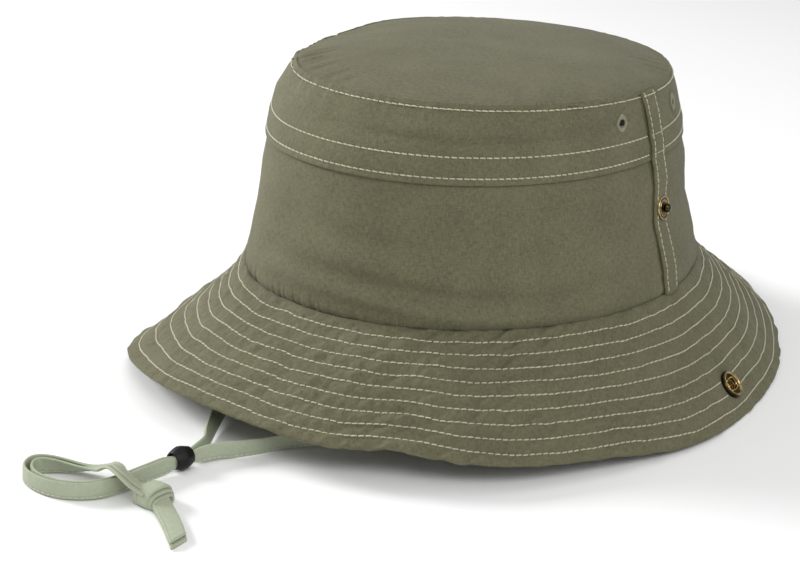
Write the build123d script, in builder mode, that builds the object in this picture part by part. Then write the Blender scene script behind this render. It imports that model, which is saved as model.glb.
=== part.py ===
from build123d import *
from math import atan2, cos, degrees, pi, radians, sin
import os

# Boonie hat, millimetres.  +X is the wearer's left, -Y the front, +Z up.
# The origin is on the floor, under the middle of the hat.

# Crown: (half width across, half length front to back, height) of its ovals.
seam_oval = (86.0, 101.0, 40.0)
lap_oval = (77.9, 94.2, 90.5)
lap_row_oval = (75.5, 91.3, 99.0)
shoulder_oval = (71.2, 81.5, 112.5)
tip_oval = (70.0, 79.2, 115.0)
tip_rise = 6.0
cloth = 1.0
layer_gap = 0.05
seam_allowance = 3.3
panel_gap = 0.05

# Sweatband, inside the head opening.
band_top = 64.0
band_cloth = 0.8
band_gap = 0.2

# Side straps that cover the crown's side seams and carry the studs.
strap_width = 10.5
strap_cloth = 1.1
strap_on_tip = 0.8

# Brim: three layers that slope down from the seam and are cut off at the floor.
rim_oval = (123.0, 165.3)
brim_layers = {"upper": 1.0, "interlining": 1.2, "under": 1.0}
brim_reach = 15.0
skin_lift = 0.4
flat_half = 40.0
raised_rim_z = 13.0

# Fold line of each snap-up side, along Y, measured down the brim from the seam.
fold_from_seam = 5.1
fold_above_cloth = 0.3
fold_gap = 0.15
closed_slack_deg = 1.6

# Press snaps, one pair a side.
socket_from_seam = 41.0
post_hole_r = 2.6
rivet_hole_r = 1.6

# Ventilation eyelets, two a side of each strap.
eyelet_height = 106.0
eyelet_turn_deg = 14.5
eyelet_outer_r = 3.3
eyelet_hole_r = 1.4
eyelet_cut_r = 2.0

# Chin strap: two tapes, drawn as round tubes of less width.
tape_d = 2.0
bead_r = 4.1
bead_bore_r = 2.55
bead_length = 7.5
bead_height = 4.15
knot_centre = (-3.8, -185.6)
knot_r = 5.9
knot_height = 7.6
knot_turn_deg = 20.0
tail_width = 6.3
tail_cloth = 1.2
tail_length = 27.0
tail_turn_deg = -35.6
tail_root = (-2.0, -184.0)

os.makedirs("parts", exist_ok=True)


def save(piece, name):
    """Label one sub-part and write it as its own STEP file."""
    piece.part.label = name
    export_step(piece.part, f"parts/{name}.step")


def inset(oval, amount):
    """The same oval, smaller all round by amount."""
    return (oval[0] - amount, oval[1] - amount, oval[2])


def oval_stack(ovals):
    """Solid with straight sides through a stack of ovals."""
    with BuildPart() as stack:
        for half_x, half_y, height in ovals:
            with BuildSketch(Plane.XY.offset(height)):
                Ellipse(half_x, half_y)
        loft(ruled=True)
    return stack.part


def oval_wall(ovals, thickness):
    """Wall whose outer face is a stack of ovals, open at both ends."""
    outside = oval_stack(ovals)
    inside = oval_stack([inset(oval, thickness) for oval in ovals])
    with BuildPart() as wall:
        add(outside)
        add(inside, mode=Mode.SUBTRACT)
    return wall.part


def spin(outline, plane):
    """Solid of revolution about the plane's local Y axis; outline is (radius, height)."""
    with BuildPart() as turned:
        with BuildSketch(plane):
            with BuildLine():
                Polyline(outline, close=True)
            make_face()
        revolve(axis=Axis(plane.origin, plane.y_dir))
    return turned.part


def axis_plane(origin, normal):
    """Plane through a line along normal, whose local Y is that line."""
    sideways = Vector(0, 1, 0)
    return Plane(origin=origin, x_dir=sideways, z_dir=sideways.cross(normal))


def oval_plane(low, high, height, turn_deg, side):
    """Axis plane on the wall between two ovals, turned from the X axis, on one side."""
    part_way = (height - low[2]) / (high[2] - low[2])
    half_x = low[0] + part_way * (high[0] - low[0])
    half_y = low[1] + part_way * (high[1] - low[1])
    turn = radians(turn_deg)
    point = Vector(side * half_x * cos(turn), half_y * sin(turn), height)
    along = Vector(-side * half_x * sin(turn), half_y * cos(turn), 0)
    climb_x = side * (high[0] - low[0]) * cos(turn)
    climb_y = (high[1] - low[1]) * sin(turn)
    climb = Vector(climb_x, climb_y, high[2] - low[2])
    normal = along.cross(climb).normalized() * side
    return Plane(origin=point, x_dir=along.normalized(), z_dir=along.normalized().cross(normal))


# ---------------------------------------------------------------- directions on the side
brim_run = Vector(rim_oval[0] - seam_oval[0], 0, -seam_oval[2])
brim_down = brim_run.normalized()
brim_normal = Vector(-brim_down.Z, 0, brim_down.X)
strap_foot = Vector(seam_oval[0] + layer_gap, 0, seam_oval[2] + 0.4)
strap_lap = Vector(lap_oval[0] + layer_gap, 0, lap_oval[2] - 0.2)
strap_up = (strap_lap - strap_foot).normalized()
strap_normal = Vector(strap_up.Z, 0, -strap_up.X)

seam_point = Vector(seam_oval[0], 0, seam_oval[2])
fold_point = seam_point + brim_down * fold_from_seam + brim_normal * fold_above_cloth
strap_angle = degrees(atan2(strap_up.Z, strap_up.X))
brim_angle = degrees(atan2(brim_down.Z, brim_down.X))
fold_deg = strap_angle - brim_angle - closed_slack_deg
socket_point = seam_point + brim_down * socket_from_seam

# The stud stands where the socket arrives when its side of the brim is folded up.
socket_arm = socket_point - fold_point
socket_closed = fold_point + socket_arm.rotate(Axis.Y, -fold_deg)
stud_lift = (socket_closed - strap_foot).dot(strap_normal) - strap_cloth
stud_point = socket_closed - strap_normal * stud_lift

# Behind the strap the wall leans in a little more, as it tucks under the upper band.
lap_part_way = (stud_point.Z - seam_oval[2]) / (lap_oval[2] - seam_oval[2])
strap_to_wall = layer_gap + lap_part_way * (cloth + layer_gap)


def on_side(point, side):
    """The point, or its mirror image on the other side of the hat."""
    return Vector(side * point.X, point.Y, point.Z)


def tool_at(point, normal, radius, reach, side):
    """Drill that cuts a round hole through the layers at a point."""
    plane = Plane(origin=on_side(point, side), z_dir=on_side(normal, side))
    with BuildPart() as drill:
        with BuildSketch(plane):
            Circle(radius)
        extrude(amount=reach, both=True)
    return drill.part


sides = {"left": 1, "right": -1}
stud_drills = {
    name: tool_at(stud_point, strap_normal, rivet_hole_r, 5.0, side)
    for name, side in sides.items()
}
snap_drills = {
    name: tool_at(socket_point, brim_normal, post_hole_r, 6.0, side)
    for name, side in sides.items()
}

eyelet_planes = {
    name: [
        oval_plane(lap_row_oval, shoulder_oval, eyelet_height, turn, side)
        for turn in (-eyelet_turn_deg, eyelet_turn_deg)
    ]
    for name, side in sides.items()
}
eyelet_cut = [(0, -4), (eyelet_cut_r, -4), (eyelet_cut_r, 4), (0, 4)]
eyelet_drills = [spin(eyelet_cut, plane) for planes in eyelet_planes.values() for plane in planes]

# ---------------------------------------------------------------- crown
lower_ovals = [
    (seam_oval[0], seam_oval[1], seam_oval[2] - seam_allowance),
    seam_oval,
    inset(lap_oval, cloth + layer_gap),
    inset(lap_row_oval, cloth + layer_gap),
]
upper_ovals = [lap_oval, lap_row_oval, shoulder_oval, tip_oval]
lower_wall = oval_wall(lower_ovals, cloth)
upper_wall = oval_wall(upper_ovals, cloth)

for end, plane in (("front", Plane.XZ), ("back", -Plane.XZ)):
    with BuildPart() as crown_lower:
        add(lower_wall)
        split(bisect_by=plane.offset(panel_gap), keep=Keep.TOP)
        for drill in stud_drills.values():
            add(drill, mode=Mode.SUBTRACT)
    save(crown_lower, f"crown_lower_{end}")

    with BuildPart() as crown_upper:
        add(upper_wall)
        split(bisect_by=plane.offset(panel_gap), keep=Keep.TOP)
        for drill in eyelet_drills:
            add(drill, mode=Mode.SUBTRACT)
    save(crown_upper, f"crown_upper_{end}")

tip_radius = tip_oval[0]
with BuildPart() as round_tip:
    with BuildSketch(Plane.XZ):
        with BuildLine():
            dome = RadiusArc((tip_radius, tip_oval[2] + layer_gap), (0, tip_oval[2] + tip_rise),
                             -(tip_radius**2 + tip_rise**2) / (2 * tip_rise))
            Line(dome @ 1, (0, tip_oval[2] + tip_rise - cloth))
            under = RadiusArc((0, tip_oval[2] + tip_rise - cloth),
                              (tip_radius - 10 * cloth, tip_oval[2] + layer_gap),
                              (tip_radius**2 + tip_rise**2) / (2 * tip_rise))
            Line(under @ 1, dome @ 0)
        make_face()
    revolve(axis=Axis.Z)
with BuildPart() as crown_tip:
    add(scale(round_tip.part, by=(1, tip_oval[1] / tip_oval[0], 1), mode=Mode.PRIVATE))
save(crown_tip, "crown_tip")

band_ovals = [
    inset((seam_oval[0], seam_oval[1], seam_oval[2] - seam_allowance), cloth + band_gap),
    inset(seam_oval, cloth + band_gap),
]
band_part_way = (band_top - seam_oval[2]) / (lap_oval[2] - seam_oval[2])
lap_inside = inset(lap_oval, 2 * cloth + layer_gap + band_gap)
seam_inside = band_ovals[1]
band_ovals.append((
    seam_inside[0] + band_part_way * (lap_inside[0] - seam_inside[0]),
    seam_inside[1] + band_part_way * (lap_inside[1] - seam_inside[1]),
    band_top,
))
with BuildPart() as sweatband:
    add(oval_wall(band_ovals, band_cloth))
save(sweatband, "sweatband")

# ---------------------------------------------------------------- side straps
for name, side in sides.items():
    with BuildPart() as side_strap:
        with BuildSketch(Plane.XZ):
            with BuildLine():
                inner_edge = Polyline(
                    (strap_foot.X, strap_foot.Z),
                    (strap_lap.X, strap_lap.Z),
                    (lap_row_oval[0] + layer_gap, lap_row_oval[2]),
                    (shoulder_oval[0] + layer_gap, shoulder_oval[2]),
                    (tip_oval[0] + 2 * layer_gap, tip_oval[2] + 0.4),
                    (tip_oval[0] - strap_on_tip, tip_oval[2] + 1.0),
                )
                offset(inner_edge, amount=strap_cloth, side=Side.RIGHT)
            make_face()
        extrude(amount=strap_width / 2, both=True)
        if side < 0:
            mirror(about=Plane.YZ, mode=Mode.REPLACE)
        add(stud_drills[name], mode=Mode.SUBTRACT)
    save(side_strap, f"side_strap_{name}")

# ---------------------------------------------------------------- brim
with BuildPart() as head_hole:
    with BuildSketch(Plane.XY.offset(-2 * brim_reach)):
        Ellipse(seam_oval[0] + layer_gap, seam_oval[1] + layer_gap)
    extrude(amount=seam_oval[2] + 4 * brim_reach)


# The brim's edge at front and back, and the arc that reaches it from the flat's end.
raised_part = 1 - raised_rim_z / seam_oval[2]
raised_rim_y = seam_oval[1] + raised_part * (rim_oval[1] - seam_oval[1])
rim_run = raised_rim_y - flat_half
rim_arc_r = (rim_run**2 + raised_rim_z**2) / (2 * raised_rim_z)


def floor_block(lift):
    """Everything below the brim's edge: flat at the sides, rising to front and back."""
    top = raised_rim_z + lift
    far = 2 * rim_oval[1]
    low = -3 * brim_reach
    with BuildPart() as block:
        with BuildSketch(Plane.YZ):
            with BuildLine():
                Line((-flat_half, lift), (flat_half, lift))
                RadiusArc((flat_half, lift), (raised_rim_y, top), -rim_arc_r)
                Polyline(
                    (raised_rim_y, top), (far, top), (far, low),
                    (-far, low), (-far, top), (-raised_rim_y, top),
                )
                RadiusArc((-raised_rim_y, top), (-flat_half, lift), -rim_arc_r)
            make_face()
        extrude(amount=2 * rim_oval[0], both=True)
    return block.part


def brim_cone(drop):
    """Solid under the brim's surface, lowered by drop, from the seam to below the floor."""
    below = brim_reach / seam_oval[2]
    wide = (
        rim_oval[0] + below * (rim_oval[0] - seam_oval[0]),
        rim_oval[1] + below * (rim_oval[1] - seam_oval[1]),
        -brim_reach - drop,
    )
    return oval_stack([wide, (seam_oval[0], seam_oval[1], seam_oval[2] - drop)])


half_span = 2 * rim_oval[1]
fold_x = fold_point.X
layer_top = 0.0
for layer, depth in brim_layers.items():
    lift = 0.0 if layer == "under" else skin_lift
    cone_over = brim_cone(layer_top)
    cone_under = brim_cone(layer_top + depth)
    cut_floor = floor_block(lift)
    with BuildPart() as brim_ring:
        add(cone_over)
        add(cone_under, mode=Mode.SUBTRACT)
        add(head_hole.part, mode=Mode.SUBTRACT)
        add(cut_floor, mode=Mode.SUBTRACT)
        for drill in snap_drills.values():
            add(drill, mode=Mode.SUBTRACT)
    layer_top += depth + layer_gap

    for end, way in (("front", -1), ("back", 1)):
        with BuildPart() as brim_end:
            add(brim_ring.part)
            with Locations((0, way * (panel_gap + half_span / 2), 0)):
                Box(2 * (fold_x - fold_gap), half_span, half_span, mode=Mode.INTERSECT)
        save(brim_end, f"brim_{layer}_{end}")

    for name, side in sides.items():
        with BuildPart() as side_brim:
            add(brim_ring.part)
            with Locations((side * (fold_x + fold_gap + half_span / 2), 0, 0)):
                Box(half_span, 2 * half_span, half_span, mode=Mode.INTERSECT)
            Box(2 * half_span, 2 * panel_gap, half_span, mode=Mode.SUBTRACT)
        save(side_brim, f"side_brim_{name}_{layer}")

brim_depth = (layer_top - layer_gap) * brim_down.X

# ---------------------------------------------------------------- press snaps
socket_ring = [
    (2.65, 0.08), (5.1, 0.08), (5.35, 0.35), (5.45, 0.9), (5.35, 1.45), (5.0, 1.8), (4.6, 1.9),
    (4.2, 1.8), (3.9, 1.5), (3.9, 0.5), (2.65, 0.5),
]
cap_floor = -brim_depth - 0.2
cap_dome = [
    (0, cap_floor - 2.0), (2.5, cap_floor - 1.85), (4.7, cap_floor - 1.3), (6.0, cap_floor - 0.5),
    (6.2, cap_floor - 0.2), (6.0, cap_floor), (2.5, cap_floor), (2.5, 0.5), (1.9, 0.5),
    (1.9, cap_floor - 0.6), (0, cap_floor - 0.6),
]
stud_body = [
    (0, 0.1), (3.5, 0.1), (3.8, 0.3), (3.8, 0.6), (3.6, 0.75), (3.3, 0.7), (3.0, 0.45), (1.8, 0.5),
    (1.25, 0.75), (1.3, 1.0), (1.5, 1.25), (1.6, 1.6), (1.55, 2.0), (1.3, 2.45), (0.8, 2.8), (0, 2.9),
]
post_head = -(strap_cloth + strap_to_wall + cloth + 0.2)
stud_post = [
    (0, 0.1), (1.5, 0.1), (1.5, post_head), (4.3, post_head), (4.5, post_head - 0.25),
    (4.3, post_head - 0.5), (0, post_head - 0.6),
]
spring_r = 0.28
spring_out = 2.15
spring_height = 1.25
spring_half = 3.0

for name, side in sides.items():
    socket_plane = axis_plane(on_side(socket_point, side), on_side(brim_normal, side))
    stud_plane = axis_plane(on_side(stud_point, side), on_side(strap_normal, side))

    with BuildPart() as snap_socket:
        add(spin(socket_ring, socket_plane))
    save(snap_socket, f"snap_socket_{name}")

    with BuildPart() as snap_cap:
        add(spin(cap_dome, socket_plane))
    save(snap_cap, f"snap_cap_{name}")

    with BuildPart() as snap_spring:
        for way in (-1, 1):
            wire_middle = (
                on_side(socket_point, side)
                + on_side(brim_normal, side) * spring_height
                + on_side(brim_down, side) * (way * spring_out)
            )
            with BuildSketch(Plane(origin=wire_middle, z_dir=(0, 1, 0))):
                Circle(spring_r)
            extrude(amount=spring_half, both=True)
    save(snap_spring, f"snap_spring_{name}")

    with BuildPart() as snap_stud:
        add(spin(stud_body, stud_plane))
    save(snap_stud, f"snap_stud_{name}")

    with BuildPart() as snap_post:
        add(spin(stud_post, stud_plane))
    save(snap_post, f"snap_post_{name}")

# ---------------------------------------------------------------- eyelets
eyelet_outline = [
    (eyelet_hole_r, -cloth - 0.3), (eyelet_cut_r - 0.05, -cloth - 0.3), (eyelet_cut_r - 0.05, 0.12),
    (eyelet_outer_r, 0.12), (eyelet_outer_r, 0.3), (2.6, 0.55), (1.8, 0.6), (eyelet_hole_r, 0.4),
]
for name, planes in eyelet_planes.items():
    with BuildPart() as eyelets:
        for plane in planes:
            add(spin(eyelet_outline, plane))
    save(eyelets, f"eyelets_{name}")

# ---------------------------------------------------------------- chin strap
# Each tape runs from the seam inside the crown, along the floor and out under the front
# rim, through the bead, round a loop, over itself and into the knot.
left_route = [
    (84.5, 0.0, 36.4), (84.0, -3.0, 25.0), (81.0, -13.0, 12.0), (74.0, -32.0, 5.0),
    (62.0, -56.0, 3.2), (45.0, -84.0, 3.2), (29.0, -104.5, 3.2), (15.5, -117.5, 3.2),
    (5.5, -128.0, 3.2), (-0.5, -140.5, 3.3), (-9.2, -150.9, 3.9), (-13.9, -176.4, 3.9),
    (-16.5, -188.5, 3.4), (-21.5, -196.0, 3.3), (-30.7, -200.4, 3.2), (-40.3, -200.2, 3.2),
    (-47.0, -197.0, 3.2), (-49.2, -190.7, 3.2), (-44.8, -186.3, 3.2), (-36.3, -183.0, 3.3),
    (-27.0, -181.6, 4.6), (-19.6, -183.8, 9.0), (-13.4, -186.8, 9.2), (-8.8, -186.0, 6.0),
    (-5.5, -184.4, 4.2),
]
right_route = [
    (-84.5, 0.0, 36.4), (-84.0, -3.0, 25.0), (-81.0, -13.0, 12.0), (-74.0, -34.0, 5.0),
    (-62.0, -60.0, 3.2), (-49.0, -86.0, 3.2), (-36.0, -107.0, 3.2), (-25.5, -124.5, 3.6),
    (-18.5, -138.5, 3.3), (-11.6, -150.4, 3.9), (-16.3, -175.9, 3.9), (-18.8, -187.4, 3.4),
    (-23.2, -194.0, 3.3), (-31.3, -197.9, 3.2), (-39.7, -197.7, 3.2), (-45.0, -195.2, 3.2),
    (-46.3, -191.3, 3.2), (-43.3, -188.6, 3.2), (-35.6, -185.6, 3.3), (-27.1, -184.4, 4.6),
    (-20.4, -186.3, 9.0), (-13.6, -189.3, 9.2), (-8.2, -188.4, 6.0), (-4.5, -187.0, 4.2),
]


def bend_radii(route):
    """Largest arc that each corner's two runs leave room for."""
    points = [Vector(point) for point in route]
    radii = []
    for before, corner, after in zip(points, points[1:], points[2:]):
        half_turn = radians((corner - before).get_angle(after - corner)) / 2
        shorter = min((corner - before).length, (after - corner).length)
        radii.append(0.45 * shorter * cos(half_turn) / sin(half_turn))
    return radii


for name, route in (("left", left_route), ("right", right_route)):
    radii = bend_radii(route)
    start = Vector(route[0])
    with BuildPart() as chin_strap:
        with BuildLine() as tape_line:
            FilletPolyline(route, radius=radii)
        with BuildSketch(Plane(origin=start, z_dir=Vector(route[1]) - start)):
            Circle(tape_d / 2)
        sweep(path=tape_line.wire())
    save(chin_strap, f"chin_strap_{name}")
    length = tape_line.wire().length
    full = length * pi * tape_d**2 / 4
    print(f"chin_strap_{name}: length {length:.1f}, radii {min(radii):.1f} to {max(radii):.1f},"
          f" volume {chin_strap.part.volume:.1f} of {full:.1f}")

# The bead sits on the straight stretch that both tapes share.
bead_run = (Vector(left_route[11]) - Vector(left_route[10])).normalized()
bead_centre = Vector(-12.2, -160.5, bead_height)
bead_half = bead_length / 2
bead_outline = [
    (bead_bore_r, -bead_half), (2.9, -bead_half), (3.7, -2.6), (bead_r, -1.1), (bead_r, 1.1),
    (3.7, 2.6), (2.9, bead_half), (bead_bore_r, bead_half),
]
bead_across = Vector(0, 0, 1)
with BuildPart() as cord_bead:
    add(spin(bead_outline, Plane(origin=bead_centre, x_dir=bead_across, z_dir=bead_across.cross(bead_run))))
save(cord_bead, "cord_bead")

with BuildPart() as strap_knot:
    with BuildSketch(Plane(origin=(*knot_centre, 0)).rotated((0, 0, knot_turn_deg))):
        RegularPolygon(knot_r, 5)
    extrude(amount=knot_height)
    fillet(strap_knot.edges(), 1.8)
save(strap_knot, "strap_knot")

tail_way = Vector(cos(radians(tail_turn_deg)), sin(radians(tail_turn_deg)), 0)
tail_slant = tail_width / 2 * sin(radians(tail_turn_deg)) / cos(radians(tail_turn_deg))
with BuildPart() as strap_tails:
    for step in range(2):
        root = Vector(*tail_root, step * (tail_cloth + layer_gap))
        with BuildSketch(Plane(origin=root, x_dir=tail_way, z_dir=(0, 0, 1))):
            with BuildLine():
                Polyline(
                    (1.5, -tail_width / 2),
                    (tail_length - tail_slant, -tail_width / 2),
                    (tail_length + tail_slant, tail_width / 2),
                    (1.5, tail_width / 2),
                    close=True,
                )
            make_face()
        extrude(amount=tail_cloth)
save(strap_tails, "strap_tails")

print(f"fold axis x {fold_point.X:.3f} z {fold_point.Z:.3f}, fold {fold_deg:.2f} degrees")
print(f"stud at {stud_point.X:.2f}, {stud_point.Z:.2f}; socket gap {stud_lift:.2f}")
print(f"bead run {bead_run.X:.4f}, {bead_run.Y:.4f}")
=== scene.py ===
from math import cos, pi, radians, sin, tan

import bmesh
import bpy
import numpy as np
from mathutils import Matrix, Vector


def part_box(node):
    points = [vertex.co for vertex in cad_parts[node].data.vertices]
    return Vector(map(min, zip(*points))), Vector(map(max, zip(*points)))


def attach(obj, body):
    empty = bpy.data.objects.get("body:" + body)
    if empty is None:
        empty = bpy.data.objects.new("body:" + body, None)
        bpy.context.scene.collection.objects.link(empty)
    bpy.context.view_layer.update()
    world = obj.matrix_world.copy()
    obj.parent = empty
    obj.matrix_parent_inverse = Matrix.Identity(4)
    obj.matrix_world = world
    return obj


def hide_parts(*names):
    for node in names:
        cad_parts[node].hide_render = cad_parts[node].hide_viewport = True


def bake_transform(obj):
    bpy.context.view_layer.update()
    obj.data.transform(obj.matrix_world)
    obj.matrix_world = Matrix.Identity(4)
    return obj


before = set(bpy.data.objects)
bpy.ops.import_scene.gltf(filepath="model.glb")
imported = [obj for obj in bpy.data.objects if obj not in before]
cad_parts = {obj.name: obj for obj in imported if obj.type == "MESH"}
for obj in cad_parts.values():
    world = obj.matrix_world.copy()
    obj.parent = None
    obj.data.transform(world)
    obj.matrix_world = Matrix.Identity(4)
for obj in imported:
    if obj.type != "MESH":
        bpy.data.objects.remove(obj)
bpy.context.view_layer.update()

# Boonie hat, in metres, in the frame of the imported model: +X is the wearer's left, -Y the front.
mm = 0.001
full_turn = 2 * pi


# ---------------------------------------------------------------- camera, light and floor
def add_object(name, data):
    thing = bpy.data.objects.new(name, data)
    bpy.context.collection.objects.link(thing)
    return thing


def add_camera():
    """A long lens at hat height, turned to the wearer's left of the front and tipped a little."""
    azimuth, elevation, roll = radians(29.486), radians(19.629), radians(-3.745)
    distance, aim = 0.6572, Vector((0, 0, 0.0293))
    back = Vector((sin(azimuth) * cos(elevation), -cos(azimuth) * cos(elevation), sin(elevation)))
    level = Vector((0, 0, 1)).cross(back).normalized()
    upward = back.cross(level)
    right = cos(roll) * level - sin(roll) * upward
    data = bpy.data.cameras.new("camera")
    data.sensor_width = 36
    data.lens = 74.03
    data.shift_x, data.shift_y = -0.0841, -0.0174
    data.clip_start, data.clip_end = 0.01, 20
    camera = add_object("camera", data)
    axes = Matrix((right, back.cross(right), back)).transposed()
    camera.matrix_world = Matrix.LocRotScale(aim + back * distance, axes.to_quaternion(), None)
    bpy.context.scene.camera = camera


def add_area_light(name, place, size, power):
    """Round white lamp aimed at the middle of the crown."""
    data = bpy.data.lights.new(name, "AREA")
    data.shape = "DISK"
    data.size, data.energy = size, power
    lamp = add_object(name, data)
    lamp.location = place
    crown_middle = Vector((0, 0, 0.06))
    lamp.rotation_euler = (crown_middle - lamp.location).to_track_quat("-Z", "Y").to_euler()


def add_studio():
    """Plain white floor and surroundings, a key lamp at the left and three weaker ones."""
    bpy.context.scene.view_settings.view_transform = "Standard"
    world = bpy.data.worlds.new("studio")
    world.use_nodes = True
    set_inputs(world.node_tree.nodes["Background"], {"Color": (1, 1, 1, 1), "Strength": 0.52})
    bpy.context.scene.world = world
    add_area_light("key", (-1.5, -0.35, 0.75), 0.6, 26)
    add_area_light("fill", (1.2, -0.1, 0.8), 0.8, 3.5)
    add_area_light("top", (0.0, 0.3, 1.6), 1.0, 1.5)
    add_area_light("front", (0.75, -1.0, 1.3), 0.8, 9)
    floor_data = bpy.data.meshes.new("floor")
    half = 6.0
    floor_data.from_pydata(
        [(-half, -half, 0), (half, -half, 0), (half, half, 0), (-half, half, 0)], [], [(0, 1, 2, 3)]
    )
    floor = add_object("floor", floor_data)
    floor.data.materials.append(plain_finish("floor_white", (0.93, 0.93, 0.93), 0.9))


# ---------------------------------------------------------------- materials
def set_inputs(node, values):
    for name, value in values.items():
        node.inputs[name].default_value = value


def start_material(name, values):
    """Material with the shader's values set; returns it, its tree, shader and coordinates."""
    material = bpy.data.materials.new(name)
    material.use_nodes = True
    tree = material.node_tree
    shader = tree.nodes["Principled BSDF"]
    set_inputs(shader, values)
    return material, tree, shader, tree.nodes.new("ShaderNodeTexCoord").outputs


def plain_finish(name, colour, roughness):
    return start_material(name, {"Roughness": roughness, "Base Color": (*colour, 1)})[0]


def calc(tree, operation, first, second=None):
    """Math node on sockets or numbers; returns its output."""
    node = tree.nodes.new("ShaderNodeMath")
    node.operation = operation
    for socket, value in zip(node.inputs, (first, second)):
        if value is None:
            continue
        if isinstance(value, (int, float)):
            socket.default_value = value
        else:
            tree.links.new(value, socket)
    return node.outputs[0]


def noise_value(tree, vector, scale, detail=3.0, stretch=(1, 1, 1)):
    """Noise between about 0 and 1, finer as scale grows."""
    mapping = tree.nodes.new("ShaderNodeMapping")
    mapping.inputs["Scale"].default_value = stretch
    tree.links.new(vector, mapping.inputs["Vector"])
    node = tree.nodes.new("ShaderNodeTexNoise")
    set_inputs(node, {"Scale": scale, "Detail": detail})
    tree.links.new(mapping.outputs[0], node.inputs["Vector"])
    return node.outputs["Fac"]


def ramp(tree, value, stops):
    """Colour ramp through (place, colour) stops."""
    node = tree.nodes.new("ShaderNodeValToRGB")
    while len(node.color_ramp.elements) < len(stops):
        node.color_ramp.elements.new(1.0)
    for element, (place, colour) in zip(node.color_ramp.elements, stops):
        element.position = place
        element.color = (*colour, 1)
    tree.links.new(value, node.inputs["Fac"])
    return node.outputs["Color"]


def two_tone(tree, shader, value, colour, low, high, edge):
    """Base colour between darker and lighter than the colour, as the value passes the middle."""
    dark = tuple(c * low for c in colour)
    light = tuple(min(1.0, c * high) for c in colour)
    stops = [(edge, dark), (1 - edge, light)]
    tree.links.new(ramp(tree, value, stops), shader.inputs["Base Color"])


def weighted(tree, *terms):
    """Sum of values, each times its weight."""
    total = None
    for value, weight in terms:
        part = calc(tree, "MULTIPLY", value, weight)
        total = part if total is None else calc(tree, "ADD", total, part)
    return total


def bump(tree, height, strength, distance, below=None):
    node = tree.nodes.new("ShaderNodeBump")
    set_inputs(node, {"Strength": strength, "Distance": distance})
    tree.links.new(height, node.inputs["Height"])
    if below is not None:
        tree.links.new(below, node.inputs["Normal"])
    return node.outputs["Normal"]


def woven_finish(name, colour, thread, contrast=0.34):
    """Plain weave of the given thread spacing, with slubs, faint mottling and a soft sheen."""
    material, tree, shader, place = start_material(name, {
        "Roughness": 0.88, "Sheen Weight": 0.06, "Sheen Roughness": 0.55,
        "Specular IOR Level": 0.25,
    })
    split_uv = tree.nodes.new("ShaderNodeSeparateXYZ")
    tree.links.new(place["UV"], split_uv.inputs[0])
    along = calc(tree, "SINE", calc(tree, "MULTIPLY", split_uv.outputs[0], pi / thread))
    across = calc(tree, "SINE", calc(tree, "MULTIPLY", split_uv.outputs[1], pi / thread))
    crossing = calc(tree, "MULTIPLY", along, across)
    pillows = calc(tree, "ABSOLUTE", crossing)

    slub_warp = noise_value(tree, place["UV"], 1 / thread, 2.0, (1.0, 0.16, 1))
    slub_weft = noise_value(tree, place["UV"], 1 / thread, 2.0, (0.16, 1.0, 1))
    cloudy = noise_value(tree, place["Object"], 70.0, 4.0)
    grain = noise_value(tree, place["Object"], 900.0, 2.0)
    tone = weighted(tree, (slub_warp, 0.3), (slub_weft, 0.3), (cloudy, 0.16), (grain, 0.24),
                    (crossing, 0.07))
    two_tone(tree, shader, tone, colour, 1 - contrast, 1 + contrast, 0.36)

    coarse = bump(tree, calc(tree, "ADD", slub_warp, slub_weft), 0.24, thread * 0.5)
    tree.links.new(bump(tree, pillows, 0.4, thread * 0.35, coarse), shader.inputs["Normal"])
    return material


def thread_finish(name, colour):
    """Twisted sewing thread, lighter and darker by turns."""
    material, tree, shader, place = start_material(name, {"Roughness": 0.6, "Sheen Weight": 0.2})
    fuzz = noise_value(tree, place["Object"], 1500.0, 2.0)
    patch = noise_value(tree, place["Object"], 180.0, 2.0)
    tone = weighted(tree, (fuzz, 0.6), (patch, 0.4))
    two_tone(tree, shader, tone, colour, 0.78, 1.16, 0.35)
    tree.links.new(bump(tree, fuzz, 0.4, 0.1 * mm), shader.inputs["Normal"])
    return material


def brass_finish(name, brightness):
    """Antique brass, blotched and finely scratched; a low brightness gives near-black metal, used
    on the snaps for dark brass and painted shade.
    """
    material, tree, shader, place = start_material(name, {"Metallic": 1.0})
    blotch = noise_value(tree, place["Object"], 420.0, 4.0)
    stops = [(0.3, (0.18, 0.13, 0.055)), (0.5, (0.42, 0.31, 0.135)), (0.75, (0.68, 0.54, 0.28))]
    stops = [(at, tuple(min(1.0, c * brightness) for c in colour)) for at, colour in stops]
    tree.links.new(ramp(tree, blotch, stops), shader.inputs["Base Color"])
    scratches = noise_value(tree, place["Object"], 1600.0, 3.0, (1, 0.2, 1))
    rough = calc(tree, "ADD", calc(tree, "MULTIPLY", scratches, 0.16), 0.1)
    tree.links.new(rough, shader.inputs["Roughness"])
    tree.links.new(bump(tree, scratches, 0.15, 0.05 * mm), shader.inputs["Normal"])
    return material


def plastic_finish(name, colour):
    """Matt moulded plastic with a fine spark-eroded grain."""
    values = {"Roughness": 0.5, "Specular IOR Level": 0.3}
    material, tree, shader, place = start_material(name, values)
    grain = noise_value(tree, place["Object"], 2200.0, 2.0)
    patch = noise_value(tree, place["Object"], 260.0, 3.0)
    two_tone(tree, shader, patch, colour, 0.7, 1.5, 0.3)
    tree.links.new(bump(tree, grain, 0.35, 0.08 * mm), shader.inputs["Normal"])
    return material


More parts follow.
